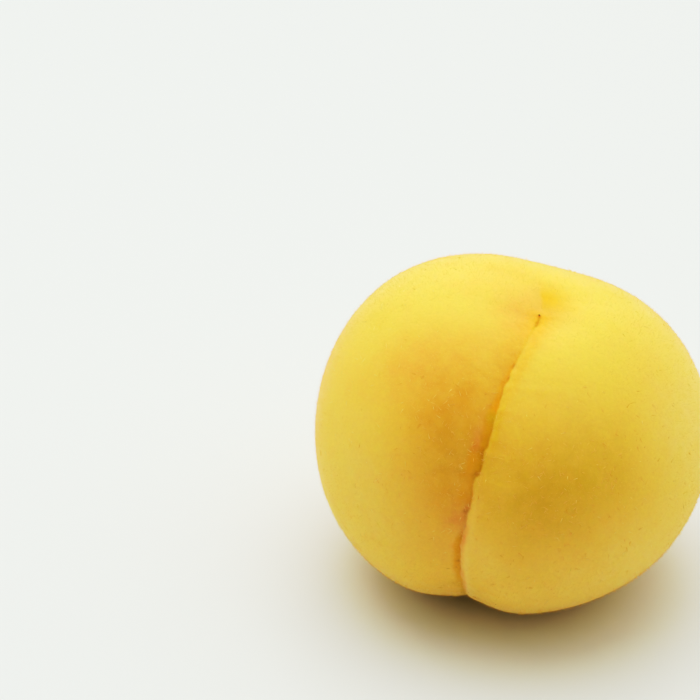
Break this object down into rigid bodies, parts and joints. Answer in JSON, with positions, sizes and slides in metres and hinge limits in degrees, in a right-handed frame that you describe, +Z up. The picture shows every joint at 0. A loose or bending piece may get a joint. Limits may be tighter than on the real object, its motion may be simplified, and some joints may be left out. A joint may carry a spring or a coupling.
{
  "type": "peach",
  "caption": "Whole ripe yellow peach with velvety skin and a deep seam groove, resting on the shoulders round its stem hollow.",
  "frame": {"origin": "bottom centre of the fruit's box, on the surface that it rests on", "axes": "+Z up, from the stem hollow towards the blossom end; +X towards the fuller cheek, across the two lobes; -Y out of the side with the seam groove"},
  "size_m": [0.0816, 0.0776, 0.0685],
  "materials": {
    "skin": "matt, velvety with fine fuzz, golden yellow with an ochre blush at the groove"
  },
  "bodies": {
    "root": {"peach": "skin"}
  },
  "joints": []
}
